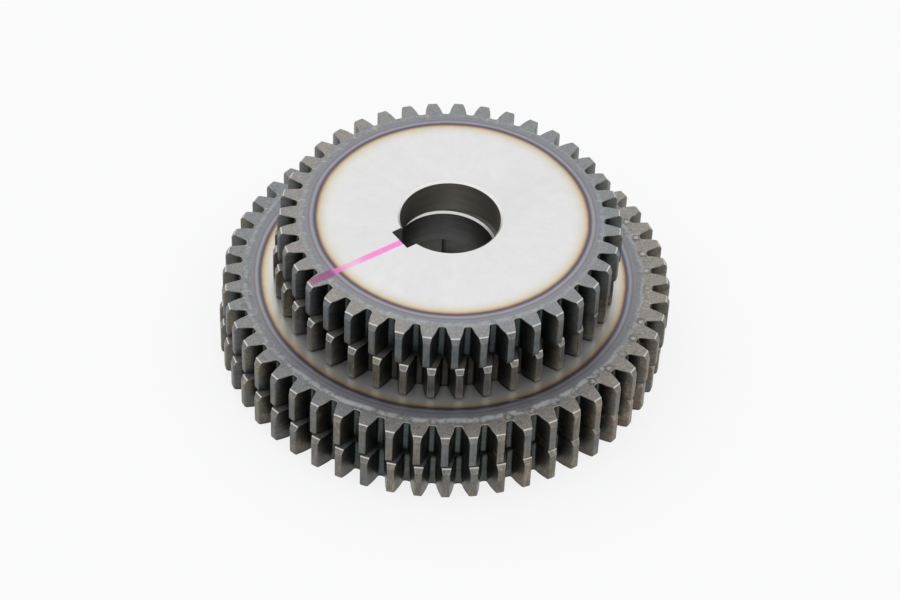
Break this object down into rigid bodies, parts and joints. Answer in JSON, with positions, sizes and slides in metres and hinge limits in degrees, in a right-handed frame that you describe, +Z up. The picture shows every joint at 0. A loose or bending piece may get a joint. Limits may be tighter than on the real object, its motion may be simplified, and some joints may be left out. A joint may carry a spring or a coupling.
{
  "type": "stack of spur gears",
  "caption": "Stack of loose steel spur gears, small discs on larger ones, each with straight teeth, a chamfered bore and a keyway, for keyed shafts in gearboxes.",
  "frame": {"origin": "where the axis of the lowest gear meets its bottom face, the face that the stack stands on", "axes": "+Z up along the gears' axes; +X to the right and +Y to the back when the stack is seen from its front, with the upper keyway at the front left"},
  "size_m": [0.1359, 0.136, 0.048],
  "materials": {
    "large_gear_steel": "ground face with heat-tint rings, dark oiled flanks, a little rust",
    "small_gear_steel": "bright ground face with a heat-tint ring, dark oiled flanks, a pink marker line"
  },
  "bodies": {
    "root": {"lower_large_gear": "large_gear_steel", "upper_large_gear": "large_gear_steel", "lower_small_gear": "small_gear_steel", "upper_small_gear": "small_gear_steel"}
  },
  "joints": []
}
